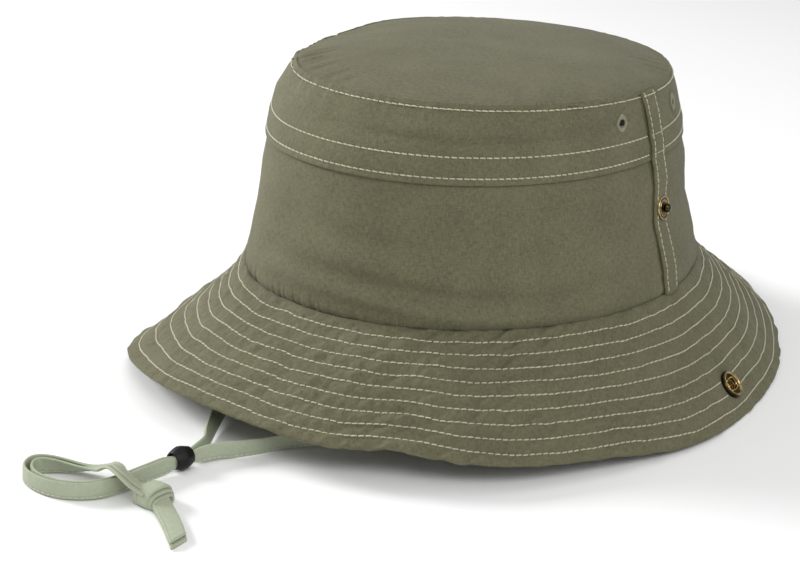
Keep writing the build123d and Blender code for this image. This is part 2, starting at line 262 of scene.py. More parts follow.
# ---------------------------------------------------------------- numbers on grids
def noise(u, v, seed, wrap=None):
    """Smooth noise from -1 to 1 on a lattice of unit cells; the same on every run."""
    u, v = np.broadcast_arrays(np.asarray(u, float), np.asarray(v, float))
    column, row = np.floor(u).astype(np.int64), np.floor(v).astype(np.int64)
    part_u, part_v = u - column, v - row
    part_u, part_v = part_u**2 * (3 - 2 * part_u), part_v**2 * (3 - 2 * part_v)

    def corner(i, j):
        if wrap:
            i = np.mod(i, wrap)
        mixed = (i * 374761393 + j * 668265263 + seed * 974634777) & 0xFFFFFFFF
        mixed = ((mixed ^ (mixed >> 13)) * 1274126177) & 0xFFFFFFFF
        mixed = mixed ^ (mixed >> 16)
        return (mixed & 0xFFFF) / 0x7FFF - 1

    low = corner(column, row) * (1 - part_u) + corner(column + 1, row) * part_u
    high = corner(column, row + 1) * (1 - part_u) + corner(column + 1, row + 1) * part_u
    return low * (1 - part_v) + high * part_v


def hump(value, centre, width):
    """Bell of height 1."""
    return np.exp(-(((value - centre) / width) ** 2))


def turn_hump(turn, centre_deg, width_deg, power=2):
    """Bell of height 1 round a direction on the hat; a higher power gives it a flatter top."""
    away = (np.degrees(turn) - centre_deg + 180) % 360 - 180
    return np.exp(-np.abs(away / width_deg) ** power)


def humps(value, *bells):
    """Sum of bells, each given as height, centre and width."""
    return sum(height * hump(value, centre, width) for height, centre, width in bells)


def turn_humps(turn, *bells):
    """Sum of bells round the hat, each given as height, direction and width in degrees."""
    return sum(height * turn_hump(turn, centre, width) for height, centre, width in bells)


def unit(vectors):
    return vectors / np.maximum(np.linalg.norm(vectors, axis=-1, keepdims=True), 1e-12)


def arc_length(points):
    """Distance along a line of points, from 0."""
    steps = np.linalg.norm(np.diff(points, axis=0), axis=-1)
    return np.concatenate([[0.0], np.cumsum(steps)])


def line_normals(line, beside):
    """Normals along a line on cloth, from the line a little way beside it."""
    return unit(np.cross(np.gradient(line, axis=0), beside - line))


def spokes(angles, first, second):
    """Arrows of length 1 at each angle between two directions that are square to each other."""
    return np.cos(angles)[:, None] * first + np.sin(angles)[:, None] * second


def grid_faces(count, size, steps):
    """Quads of a grid of count loops of size points that goes round, for the first steps."""
    i, j = (k.ravel() for k in np.meshgrid(np.arange(count), np.arange(steps), indexing="ij"))
    after, up = (i + 1) % count, (j + 1) % size
    return np.stack([i * size + j, after * size + j, after * size + up, i * size + up], axis=1)


def grid_normals(points, closed):
    """Normals of a grid of points (turn, rise); closed says that the first axis goes round."""
    if closed:
        by_turn = np.roll(points, -1, axis=0) - np.roll(points, 1, axis=0)
    else:
        by_turn = np.gradient(points, axis=0)
    return unit(np.cross(by_turn, np.gradient(points, axis=1)))


# ---------------------------------------------------------------- meshes
def edit_mesh(sources, target, change=None):
    """Puts the source meshes into the target, changed on the way."""
    shape = bmesh.new()
    for source in sources:
        shape.from_mesh(source)
    if change:
        change(shape)
    shape.to_mesh(target)
    shape.free()


def make_mesh(name, points, faces, material, corner_uv=None, weld=False):
    """Mesh object from points and faces, turned right side out and shaded smooth."""
    points = np.asarray(points, float).reshape(-1, 3)
    a, b, c, d = (points[faces[:, k]] for k in range(4))
    volume = np.sum(a * np.cross(b, c)) + np.sum(a * np.cross(c, d))
    if volume < 0:
        faces = faces[:, ::-1]
        if corner_uv is not None:
            corner_uv = corner_uv[:, ::-1]
    mesh = bpy.data.meshes.new(name)
    mesh.from_pydata(points.tolist(), [], faces.tolist())
    mesh.shade_smooth()
    if corner_uv is not None:
        layer = mesh.uv_layers.new(name="cloth")
        layer.data.foreach_set("uv", corner_uv.astype(np.float32).ravel())
    mesh.materials.append(material)
    if weld:
        edit_mesh([mesh], mesh, lambda shape: bmesh.ops.remove_doubles(
            shape, verts=shape.verts, dist=0.002 * mm))
    mesh.update()
    return add_object(name, mesh)


def settle(piece, body, slot, *nodes):
    """The piece rides on a body and stands for CAD nodes; slot is not used."""
    if nodes:
        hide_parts(*nodes)
    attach(piece, body)
    return piece


def loft(name, loops, closed, material):
    """Skin through closed loops of points, capped where it has ends, with UVs in metres."""
    count, size = loops.shape[:2]
    ring = np.concatenate([loops, loops[:, :1]], axis=1)
    around = np.linalg.norm(np.diff(ring, axis=1), axis=-1)
    rise = np.concatenate([np.zeros((count, 1)), np.cumsum(around, axis=1)], axis=1)
    line = np.concatenate([loops, loops[:1]], axis=0)
    steps = np.linalg.norm(np.diff(line, axis=0), axis=-1).mean(axis=1)
    run = np.concatenate([[0.0], np.cumsum(steps)])
    rise = np.concatenate([rise, rise[:1]], axis=0)
    last = count if closed else count - 1
    i, j = np.meshgrid(np.arange(last), np.arange(size), indexing="ij")
    i, j = i.ravel(), j.ravel()

    def index(a, b):
        return (a % count) * size + b % size

    def place(a, b):
        return np.stack([run[a], rise[a, b]], axis=-1)

    corners = [(i, j), (i + 1, j), (i + 1, j + 1), (i, j + 1)]
    faces = np.stack([index(a, b) for a, b in corners], axis=1)
    uv = np.stack([place(a, b) for a, b in corners], axis=1)
    if not closed:
        near = np.arange(size // 2 - 1)
        for end in (0, count - 1):
            pairs = [near, near + 1, size - 2 - near, size - 1 - near]
            cap = np.stack([index(np.full_like(k, end), k) for k in pairs], axis=1)
            faces = np.concatenate([faces, cap if end == 0 else cap[:, ::-1]])
            uv = np.concatenate([uv, np.zeros((len(cap), 4, 2))])
    return make_mesh(name, loops, faces, material, uv)


edge_points = 4


def cloth_loops(points, normals, thickness):
    """Closed loops round a sheet: its face, a rounded edge, its back and the other edge."""
    thick = np.broadcast_to(thickness, points.shape[:2])[..., None]
    back = points - normals * thick
    arcs = []
    for edge, beside in ((-1, -2), (0, 1)):
        outward = unit(points[:, edge] - points[:, beside])
        half = thick[:, edge] / 2
        middle = points[:, edge] - normals[:, edge] * half
        turns = np.linspace(0, pi, edge_points + 2)[1:-1]
        if edge == 0:
            turns = turns[::-1]
        arc = [middle + normals[:, edge] * half * cos(a) + outward * half * sin(a) for a in turns]
        arcs.append(np.stack(arc, axis=1))
    return np.concatenate([points, arcs[0], back[:, ::-1], arcs[1]], axis=1)


class Threads:
    """Gathers single stitches from many rows into one mesh."""

    sides = 6

    def __init__(self):
        self.points = []
        self.faces = []
        self.count = 0

    def row(self, line, normals, pitch=2.4 * mm, share=0.93, radius=0.27 * mm, slant=0.0, seed=1):
        """Stitches along a line that lies on cloth with these normals."""
        run = arc_length(line)
        number = int(run[-1] / pitch)
        if number < 1:
            return
        pitch = run[-1] / number
        order = np.arange(number)
        wobble = noise(order * 0.73, 0.5, seed)
        middle = (order + 0.5) * pitch + 0.06 * pitch * wobble
        half = pitch * share * (0.5 + 0.05 * noise(order * 1.3, 3.5, seed))
        steps = np.array([-1.0, -0.72, 0.0, 0.72, 1.0])
        lift = np.array([-0.9, 0.25, 0.62, 0.25, -0.9]) * radius
        size = np.array([0.6, 0.95, 1.0, 0.95, 0.6]) * radius
        place = middle[:, None] + half[:, None] * steps

        def sample(values):
            return np.stack([np.interp(place, run, values[:, k]) for k in range(3)], axis=-1)

        centre = sample(line)
        up = unit(sample(normals))
        ahead = unit(np.gradient(centre, axis=1))
        beside = unit(np.cross(up, ahead))
        drift = slant * steps + 0.1 * radius * wobble[:, None]
        centre = centre + up * lift[:, None] + beside * drift[..., None]
        angles = np.arange(self.sides) * full_turn / self.sides
        rings = (
            centre[:, :, None]
            + up[:, :, None] * (np.cos(angles) * 0.85)[:, None] * size[:, None, None]
            + beside[:, :, None] * np.sin(angles)[:, None] * size[:, None, None]
        )
        rings_each = len(steps)
        base = self.count + order * rings_each * self.sides
        r, k = np.meshgrid(np.arange(rings_each - 1), np.arange(self.sides), indexing="ij")
        r, k = r.ravel(), k.ravel()
        nextk = (k + 1) % self.sides
        tube = np.stack([r * self.sides + k, (r + 1) * self.sides + k,
                         (r + 1) * self.sides + nextk, r * self.sides + nextk], axis=1)
        top = (rings_each - 1) * self.sides
        caps = np.array([(0, 1, 2, 3), (0, 3, 4, 5)])
        one = np.concatenate([tube, caps, caps[:, ::-1] + top])
        self.faces.append((base[:, None, None] + one).reshape(-1, 4))
        self.points.append(rings.reshape(-1, 3))
        self.count += number * rings_each * self.sides

    def piece(self, name, material):
        return make_mesh(name, np.concatenate(self.points), np.concatenate(self.faces), material)


# ---------------------------------------------------------------- sizes from the frame
lower_low, lower_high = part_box("crown_lower_front")
upper_low, upper_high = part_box("crown_upper_front")
tip_low, tip_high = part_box("crown_tip")
_, brim_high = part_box("brim_upper_front")
side_low, side_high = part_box("side_brim_left_upper")
band_low, band_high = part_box("sweatband")

cloth = 1.0 * mm
under_lap = cloth + 0.05 * mm
seam_z = brim_high.z
seam_oval = (lower_high.x, -lower_low.y, seam_z)
lap_oval = (upper_high.x, -upper_low.y, upper_low.z)
lap_row_oval = (75.5 * mm, 91.3 * mm, 99.0 * mm)
shoulder_oval = (71.2 * mm, 81.5 * mm, 112.5 * mm)
tip_oval = (tip_high.x, -tip_low.y, tip_low.z)
allowance_z = lower_low.z


corner_ease = 2.5 * mm


def oval_at(height, ovals):
    """Half width and half length of a stack of ovals at a height, its corners eased."""
    levels = [oval[2] for oval in ovals]
    sizes = []
    for axis in (0, 1):
        values = [oval[axis] for oval in ovals]
        near = [np.interp(np.clip(height + corner_ease * k, levels[0], levels[-1]), levels, values)
                for k in (-1, -0.5, 0, 0.5, 1)]
        inside = np.minimum(height - levels[0], levels[-1] - height) > corner_ease
        sizes.append(np.where(inside, sum(near) / len(near), near[2]))
    return sizes


def oval_points(turn, height, ovals):
    half_x, half_y = oval_at(height, ovals)
    return np.stack([half_x * np.cos(turn), half_y * np.sin(turn), height + 0 * turn], axis=-1)


def inset(oval, amount):
    return (oval[0] - amount, oval[1] - amount, oval[2])


lower_ovals = [
    (seam_oval[0], seam_oval[1], allowance_z),
    seam_oval,
    inset(lap_oval, under_lap),
    inset(lap_row_oval, under_lap),
]
upper_ovals = [lap_oval, lap_row_oval, shoulder_oval, tip_oval]
wall_run = 540 * mm / full_turn


# The soft hat isn't quite even: the wearer's right is pressed in, a little to the front, and
# the left has a waist and a flared foot. Pairs of height and distance outwards.
right_press = np.array([(40, -5.0), (63, -5.2), (79, -3.6), (87, -3.7), (95, -3.3), (104, -1.9),
                       (112, -2.9), (121, -3.0)]) * mm

left_waist = np.array([(40, 1.9), (50, 1.7), (58, 0.3), (66, -1.6), (74, -1.3), (82, -0.3),
                       (91, -1.2), (99, -0.6), (107, 0.3), (115, 0.9)]) * mm


def worn(points, turn, share=0.0):
    """The hat's worn-in shape; share is 0 on the crown and grows to 1 at the brim's edge."""
    height = points[..., 2]
    crown = np.interp(height, *right_press.T) * turn_hump(turn, -148, 24, 3)
    crown = crown + np.interp(height, *left_waist.T) * turn_hump(turn, 20, 50, 3)
    rim = 1.1 * mm * turn_hump(turn, -4, 16, 2) - 10 * mm * turn_hump(turn, -160, 20, 4)
    sag = 6.4 * mm * turn_hump(turn, -157, 33, 3) + 2.6 * mm * turn_hump(turn, 50, 18, 2)
    sag = sag * np.sin(pi * np.clip(share, 0, 1) ** 0.95)
    amount = crown * (1 - share) + rim * share - sag
    outward = np.stack(np.broadcast_arrays(np.cos(turn), np.sin(turn), 0.0 * height), axis=-1)
    near_top = np.clip((height - 103 * mm) / (10 * mm), 0, 1)
    slump = 3.4 * mm * near_top * turn_hump(turn, 188, 24, 3)
    return points + outward * amount[..., None] - np.array([0, 0, 1]) * slump[..., None]


# ---------------------------------------------------------------- crown
def strap_lean(height):
    """How far the straps lean forwards near their tops."""
    upper = np.clip((height - 97 * mm) / (18 * mm), 0, 1)
    return 2.6 * mm * upper**2 * (3 - 2 * upper)


def strap_groove(points):
    """The wall drawn in along both edges of the side straps."""
    across = np.abs(points[..., 1] + strap_lean(points[..., 2]))
    return -0.75 * mm * hump(across, strap_half + 0.35 * mm, 0.85 * mm)


def lower_surface(turn, height):
    """Outer face of the crown's lower wall."""
    points = oval_points(turn, height, lower_ovals)
    outward = unit(points * [1, 1, 0])
    run = turn * wall_run
    above_seam = np.maximum(height - seam_z, 0)
    right_front = 0.35 + 0.65 * turn_hump(turn, -125, 45)
    gathers = np.clip(1 - 2.0 * np.abs(noise(run / (2.1 * mm), above_seam / (14 * mm), 11)), 0, 1)
    relief = -0.9 * mm * gathers * np.exp(-((above_seam / (4.4 * mm)) ** 2)) * right_front
    relief = relief + humps(above_seam, (-0.75 * mm, 0, 1.1 * mm), (0.35 * mm, 3.2 * mm, 2 * mm))
    slack = turn_hump(turn, -62, 38)
    low_fold = seam_z + 13 * mm + 3 * mm * np.sin(turn * 3 + 0.6)
    relief = relief + slack * humps(
        height - low_fold, (-0.9 * mm, 0, 2.6 * mm), (2.0 * mm, -5.6 * mm, 3.2 * mm),
        (1.3 * mm, 6 * mm, 4 * mm), (-0.8 * mm, 14 * mm, 3.5 * mm))
    body = np.clip((upper_low.z - height) / (12 * mm), 0, 1) * np.clip(above_seam / (6 * mm), 0, 1)
    relief = relief + 0.8 * mm * body * noise(run / (38 * mm), height / (24 * mm), 12)
    relief = relief + 0.22 * mm * body * noise(run / (11 * mm), height / (8 * mm), 13)
    return worn(points + outward * (relief + strap_groove(points))[..., None], turn)


eyelet_low, eyelet_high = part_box("eyelets_left")
eyelet_z = (eyelet_low.z + eyelet_high.z) / 2
eyelet_ring_r = 3.3 * mm
eyelet_y = eyelet_high.y - eyelet_ring_r
eyelet_turn = float(np.arcsin(eyelet_y / oval_at(np.array(eyelet_z), upper_ovals)[1]))
band_radius = 84 * mm
row_heights = {"top": 113.2 * mm, "middle": 99.0 * mm, "lap": 92.3 * mm}


def upper_surface(turn, height):
    """Outer face of the band between the lap and the tip."""
    points = oval_points(turn, height, upper_ovals)
    outward = unit(points * [1, 1, 0.35])
    run = turn * wall_run
    dips = [(-0.22 * mm, row, 0.8 * mm) for row in row_heights.values()]
    relief = 0 * turn + humps(height, *dips)
    between = hump(height, (row_heights["middle"] + row_heights["lap"]) / 2, 2.6 * mm)
    relief = relief + 0.35 * mm * between * (1 + 0.35 * noise(run / (6 * mm), 0.5, 21))
    below_top = np.clip((row_heights["top"] - height) / (11 * mm), 0, 1)
    gather = (1 - below_top) ** 1.6 * (0.3 + turn_humps(turn, (0.9, -125, 40), (0.6, -30, 16)))
    pleats = np.abs(noise(run / (5.2 * mm), height / (30 * mm), 22)) - 0.3
    relief = relief - 0.9 * mm * gather * pleats
    crease_z = 105.6 * mm + 1.6 * mm * np.sin(turn * 2.2 + 1.2)
    crease = turn_hump(turn, -52, 34) * 0.9
    relief = relief + crease * humps(
        height - crease_z, (-1.1 * mm, 0, 1.1 * mm), (0.8 * mm, 2.8 * mm, 1.8 * mm))
    for middle in (-eyelet_turn, eyelet_turn, pi - eyelet_turn, pi + eyelet_turn):
        away = ((turn - middle + pi) % full_turn - pi) * band_radius
        reach = np.sqrt((away / (3.1 * mm)) ** 2 + ((height - eyelet_z) / (4.0 * mm)) ** 2)
        relief = relief - 0.55 * mm * hump(reach, 1.15, 0.28) - 0.3 * mm * hump(reach, 0, 0.9)
    middle = hump(height, 106 * mm, 5 * mm)
    relief = relief + 0.55 * mm * middle * noise(run / (17 * mm), height / (9 * mm), 23)
    return worn(points + outward * (relief + strap_groove(points))[..., None], turn)


wall_columns = 520


def build_wall(name, surface, low, high, first_deg, last_deg, material, rows=88):
    """Half of a crown wall as closed cloth, from one side seam to the other."""
    turn = np.radians(np.linspace(first_deg, last_deg, wall_columns))[:, None]
    height = np.linspace(low, high, rows)[None, :]
    points = surface(*np.broadcast_arrays(turn, height))
    normals = grid_normals(points, False)
    piece = loft(f"{name}_panel", cloth_loops(points, normals, cloth), False, material)
    return settle(piece, "hat", "crown_cloth", name)


def tip_surface(share, turn):
    """Top of the crown; share is 0 in the middle and 1 at the seam round it."""
    half_x, half_y = tip_oval[0], tip_oval[1]
    rise = tip_high.z - tip_low.z
    dome = tip_low.z - 0.4 * mm + (rise + 0.2 * mm) * (1 - share**2.6) ** 0.85
    edge = hump(share, 0.93, 0.12) * (1 - share**24)
    run = turn * wall_run
    gather = turn_humps(turn, (1, -30, 13), (0.45, 28, 12), (0.65, -128, 24), (0.5, 180, 18))
    pleats = 2.6 * mm * edge * gather * (np.abs(noise(run / (5.2 * mm), share * 2, 31)) - 0.35)
    x = half_x * share * np.cos(turn)
    y = half_y * share * np.sin(turn)
    slack = 0.7 * mm * noise(x / (34 * mm), y / (30 * mm), 32)
    slack = (slack + 0.2 * mm * noise(x / (11 * mm), y / (12 * mm), 33)) * (1 - share**6)
    flat = np.stack([x, y, dome + slack - pleats], axis=-1)
    return flat + (worn(flat, turn) - flat) * (share**2)[..., None]


def build_tip(material):
    """Oval top panel as closed cloth with a rounded edge."""
    columns, rings = 420, 70
    turn = np.linspace(0, full_turn, columns, endpoint=False)[:, None]
    share = np.linspace(0.0, 1.0, rings)[None, :] ** 0.8
    points = tip_surface(*np.broadcast_arrays(share, turn))
    normals = grid_normals(points, True)
    normals = np.where(normals[..., 2:] < 0, -normals, normals)
    normals[:, 0] = (0, 0, 1)
    loops = cloth_loops(points, normals, cloth)
    # Top and underside both close in the middle, so the loops' last edge is left out.
    faces = grid_faces(*loops.shape[:2], loops.shape[1] - edge_points - 1)
    uv = loops.reshape(-1, 3)[:, :2][faces]
    piece = make_mesh("crown_tip_panel", loops, faces, material, uv, weld=True)
    settle(piece, "hat", "crown_cloth", "crown_tip")


# ---------------------------------------------------------------- brim
brim_rows = 9
first_row = 4.2 * mm
last_row_in = 3.7 * mm
brim_thick = 2.4 * mm
rim_thick = 1.7 * mm
rim_clear = 0.02 * mm
rim_lift = 1.4 * mm
flat_half = 40.0 * mm
slope_x = (side_high.x - seam_oval[0]) / (seam_z - side_low.z)
raised_rim_z = 13.0 * mm
raised_rim_y = 144.4 * mm
slope_y = (raised_rim_y - seam_oval[1]) / (seam_z - raised_rim_z)
rim_arc = ((raised_rim_y - flat_half) ** 2 + raised_rim_z**2) / (2 * raised_rim_z)


def rim_height(turn, y):
    """Height of the brim's lower edge: on the floor at the sides, raised at front and back."""
    past = np.maximum(np.abs(y) - flat_half, 0)
    arc = rim_arc - np.sqrt(rim_arc**2 - past**2)
    return arc + mm * turn_humps(
        turn, (1.9, -50, 17), (1.0, -120, 16), (3.2, -29, 13), (2.0, -64, 9), (1.2, -97, 12))


def rim_drop(turn):
    """How far the brim falls from the seam to its edge."""
    drop = np.full_like(turn, 30 * mm)
    for _ in range(30):
        y = (seam_oval[1] + slope_y * drop) * np.sin(turn)
        drop = seam_z - rim_height(turn, y) - rim_lift
    return drop


def brim_columns():
    """Directions round the brim, evenly spaced along it, the same on all four quarters."""
    fine = np.linspace(0, pi / 2, 400)
    drop = rim_drop(fine) * 0.7
    middle = np.stack([(seam_oval[0] + slope_x * drop) * np.cos(fine),
                       (seam_oval[1] + slope_y * drop) * np.sin(fine)], axis=-1)
    run = arc_length(middle)
    quarter = np.interp(np.linspace(0, run[-1], 281), run, fine)
    half = np.concatenate([-quarter[::-1], quarter[1:]])
    return np.concatenate([half, pi + half[1:-1]])


def row_step(width):
    """Distance between stitch rows, for a brim of that width."""
    return (width - first_row - last_row_in) / (brim_rows - 1)


def brim_slope(turn):
    """The brim's run outwards for each unit of fall, and its even upward normal."""
    lean = np.sqrt((slope_x * np.cos(turn)) ** 2 + (slope_y * np.sin(turn)) ** 2)
    return lean, unit(np.stack([np.cos(turn), np.sin(turn), lean], axis=-1))


def brim_surface(turn, share):
    """Upper face of the brim, quilted by its rows; share is 0 at the seam and 1 at the edge."""
    drop = rim_drop(turn) * share
    half_x = seam_oval[0] + slope_x * drop
    half_y = seam_oval[1] + slope_y * drop
    points = np.stack([half_x * np.cos(turn), half_y * np.sin(turn), seam_z - drop], axis=-1)
    lean, upward = brim_slope(turn)
    run_out = drop * np.sqrt(1 + lean**2)
    width = rim_drop(turn) * np.sqrt(1 + lean**2)
    channel = (run_out - first_row) / row_step(width)
    nearest = np.round(np.clip(channel, 0, brim_rows - 1))
    from_row = np.abs(channel - nearest) * row_step(width)
    inner = np.floor(channel)
    within = channel - inner
    run = turn / full_turn
    cells = 150
    tilt = run * cells + within * (0.55 + 0.7 * turn_hump(turn, -50, 32))
    ridges = noise(tilt, inner * 7.3 + within * 0.7, 41, cells)
    fine = noise(run * 380 + within * 0.4, inner * 5.1 + within, 42, 380)
    held = np.sin(pi * np.clip(within, 0, 1)) ** 0.6
    quilted = (channel > -0.75) & (channel < brim_rows - 0.2)
    puff = 0.34 * mm * (1 - np.exp(-((from_row / (1.3 * mm)) ** 2)))
    drawn = 0.8 + 0.95 * turn_hump(turn, -50, 32)
    pucker = np.where(quilted, held, 0.25) * drawn * (0.6 * mm * ridges + 0.3 * mm * fine)
    wave = 1.15 * mm * np.minimum(share * 2, 1) * noise(run * 30 + share, share * 2.4, 43, 30)
    calm = 1 - np.exp(-((from_snap(points) / (7.5 * mm)) ** 4))
    off_middle = np.abs(points[..., 0]) > 30 * mm
    joined = -0.45 * mm * hump(points[..., 1], 0, 0.55 * mm) * off_middle
    relief = (puff + pucker + wave + joined) * calm + 0.05 * mm
    return worn(points + upward * relief[..., None], turn, share)


def from_snap(points, centres=None):
    """Distance from the nearer of the two sockets."""
    centres = centres or snap_places
    near = [np.linalg.norm(points - centre, axis=-1) for centre in centres.values()]
    return np.minimum(*near)


sides = {"left": 1, "right": -1}
brim_down = unit(np.array([slope_x, 0.0, -1.0]))
brim_up = np.array([-brim_down[2], 0.0, brim_down[0]])


def box_centre(node):
    low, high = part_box(node)
    return np.array((low + high) / 2)


socket_rise = 0.99 * mm
cap_drop = 2.6 * mm
well_radius, well_edge, well_depth = 4.6 * mm, 1.2 * mm, 2.0 * mm
stitch_gap_socket, stitch_gap_cap = 5.6 * mm, 6.4 * mm
snap_places = {
    name: box_centre(f"snap_socket_{name}") - socket_rise * brim_up * [side, 1, 1]
    for name, side in sides.items()
}
snap_share = (seam_z - snap_places["left"][2]) / (seam_z - side_low.z)
snap_centres = {
    name: worn(place, np.array(0.0 if name == "left" else pi), snap_share)
    for name, place in snap_places.items()
}
cap_centres = {
    name: snap_centres[name] - cap_drop * brim_up * [side, 1, 1] for name, side in sides.items()
}


def build_brim(materials):
    """Two quilted halves that meet at the middle of front and back, and their stitches."""
    turns = brim_columns()
    share = np.linspace(0.0, 1.0, 74)[None, :]
    points = brim_surface(*np.broadcast_arrays(turns[:, None], share))
    normals = np.broadcast_to(brim_slope(turns)[1][:, None], points.shape)
    thick = brim_thick + (rim_thick - brim_thick) * np.clip((share - 0.9) / 0.1, 0, 1)
    loops = cloth_loops(points, normals, np.broadcast_to(thick, points.shape[:2]))
    inside_well = (well_radius - from_snap(points, snap_centres)) / well_edge
    sunk = np.clip(inside_well, 0, 1) * well_depth
    loops[:, :points.shape[1]] -= normals * sunk[..., None]
    loops[..., 2] = np.maximum(loops[..., 2], rim_clear)
    by_turn = np.roll(loops, -1, axis=0) - np.roll(loops, 1, axis=0)
    by_rise = np.roll(loops, -1, axis=1) - np.roll(loops, 1, axis=1)
    smooth = -unit(np.cross(by_turn, by_rise))
    half = len(turns) // 2
    spans = {"left": np.arange(0, half + 1), "right": np.arange(half, 2 * half + 1) % len(turns)}
    for name, side in sides.items():
        columns = spans[name]
        piece = loft(f"brim_{name}", loops[columns], False, materials["cloth"])
        piece.data.normals_split_custom_set_from_vertices(smooth[columns].reshape(-1, 3).tolist())
        end = "front" if name == "left" else "back"
        layers = ("upper", "interlining", "under")
        hidden = [f"side_brim_{name}_{layer}" for layer in layers]
        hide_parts(*hidden, *[f"brim_{layer}_{end}" for layer in layers])
        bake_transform(piece)

        threads = Threads()
        first = turns[columns][0]
        line_turn = np.linspace(first, first + pi, 1600)
        for row in range(brim_rows):
            add_brim_row(threads, line_turn, row)
        stitches = threads.piece(f"brim_stitches_{name}", materials["thread"])
        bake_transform(stitches)


def add_brim_row(threads, turn, row):
    """One row of stitches on the brim's upper and under face."""
    lean, even = brim_slope(turn)
    width = rim_drop(turn) * np.sqrt(1 + lean**2)
    sway = 0.45 * mm * noise(turn * 9, row * 0.37, 44) + 0.22 * mm * noise(turn * 31, row * 1.7, 45)
    share = (first_row + row * row_step(width) + sway) / width
    step = 0.004
    line = brim_surface(turn, share)
    outer = brim_surface(turn, share + step)
    normals = -line_normals(line, outer)
    for stretch in stretches(from_snap(line, snap_centres) > stitch_gap_socket):
        threads.row(line[stretch], normals[stretch], slant=0.1 * mm, seed=100 + row)
    under = line - even * brim_thick
    for stretch in stretches(from_snap(under, cap_centres) > stitch_gap_cap):
        threads.row(under[stretch], -even[stretch], radius=0.24 * mm, seed=140 + row)


# ---------------------------------------------------------------- chin strap
def in_metres(route):
    return [tuple(value * mm for value in place) for place in route]


left_route = in_metres([
    (84.5, 0, 36.4), (84, -3, 25), (81, -13, 12), (74, -32, 5), (62, -56, 3.2), (45, -84, 3.2),
    (29, -104.5, 3.2), (15.5, -117.5, 3.2), (5.5, -128, 3.2), (-0.5, -140.5, 3.3),
    (-9.2, -150.9, 3.9), (-13.9, -176.4, 3.9), (-16.5, -188.5, 3.4), (-21.5, -196, 3.3),
    (-30.7, -200.4, 3.2), (-40.3, -200.2, 3.2), (-47, -197, 3.2), (-49.2, -190.7, 3.2),
    (-44.8, -186.3, 3.2), (-36.3, -183, 3.3), (-27, -181.6, 4.6), (-19.6, -183.8, 9),
    (-13.4, -186.8, 9.2), (-8.8, -186, 6), (-5.5, -184.4, 4.2),
])
right_route = in_metres([
    (-84.5, 0, 36.4), (-84, -3, 25), (-81, -13, 12), (-74, -34, 5), (-62, -60, 3.2),
    (-49, -86, 3.2), (-36, -107, 3.2), (-25.5, -124.5, 3.6), (-18.5, -138.5, 3.3),
    (-10.6, -150.7, 3.9), (-15.2, -176.2, 3.9), (-17.7, -188, 3.4), (-22.3, -195, 3.3),
    (-31.1, -199.1, 3.2), (-39.9, -198.7, 3.2), (-45, -195.2, 3.2), (-46.3, -191.3, 3.2),
    (-43.3, -188.6, 3.2), (-35.6, -185.6, 3.3), (-27, -183.4, 4.6), (-20.2, -185.5, 9),
    (-13.5, -188.4, 9.2), (-8.2, -188.4, 6), (-4.5, -187, 4.2),
])
tape_width = 5.8 * mm
tape_thick = 1.15 * mm
tape_clear = 0.05 * mm
bead_middle = box_centre("cord_bead")
upright = np.array([0.0, 0.0, 1.0])

# Direction across each tape at points of its route: up stands it on its edge.
on_edge, tipped = (0.0, 0.0, 1.0), (0.46, -0.82, 0.34)
flat, slanted = (-0.88, -0.44, 0.14), (-0.45, -0.22, 0.6)
left_across = [(0, on_edge), (17, on_edge), (20, tipped), (24, tipped)]
right_across = [(0, on_edge), (3, on_edge), (6, flat), (7, slanted), (9, on_edge), (16, on_edge),
                (19, tipped), (23, tipped)]


def spline_line(name, route):
    """Points along the smooth line whose control points are the route."""
    curve = bpy.data.curves.new(name, "CURVE")
    curve.dimensions = "3D"
    spline = curve.splines.new("NURBS")
    spline.points.add(len(route) - 1)
    for point, place in zip(spline.points, route):
        point.co = (*place, 1)
    spline.order_u = 3
    spline.use_endpoint_u = True
    spline.resolution_u = 16
    line = add_object(name, curve)
    mesh = bpy.data.meshes.new_from_object(line)
    points = np.array([tuple(v.co) for v in mesh.vertices])
    bpy.data.objects.remove(line)
    keep = np.concatenate([[True], np.linalg.norm(np.diff(points, axis=0), axis=1) > 0.02 * mm])
    return points[keep]


def eased(values):
    """The values with their corners rounded."""
    reach = 8
    kernel = np.hanning(2 * reach + 3)[1:-1]
    return np.convolve(np.pad(values, reach, mode="edge"), kernel / kernel.sum(), mode="valid")


def ribbon_axes(line, across):
    """Wide and thin directions of a tape, square to its line."""
    ahead = unit(np.gradient(line, axis=0))
    wide = unit(across - ahead * np.sum(across * ahead, axis=-1, keepdims=True))
    return wide, np.cross(ahead, wide)


def ribbon_loops(line, wide, thin, width, thick):
    """Loops of a flat tube: a soft middle, a stitched edge and a folded edge."""
    angles = np.linspace(0, full_turn, 36, endpoint=False)
    across = np.sign(np.cos(angles)) * np.abs(np.cos(angles)) ** 0.5
    proud = np.sign(np.sin(angles)) * np.abs(np.sin(angles)) ** 0.55
    groove = 1 - 0.45 * np.exp(-(((across + 0.72) / 0.1) ** 2))
    return (
        line[:, None]
        + wide[:, None] * (width[:, None] / 2 * across)[..., None]
        + thin[:, None] * (thick[:, None] / 2 * proud * groove)[..., None]
    )


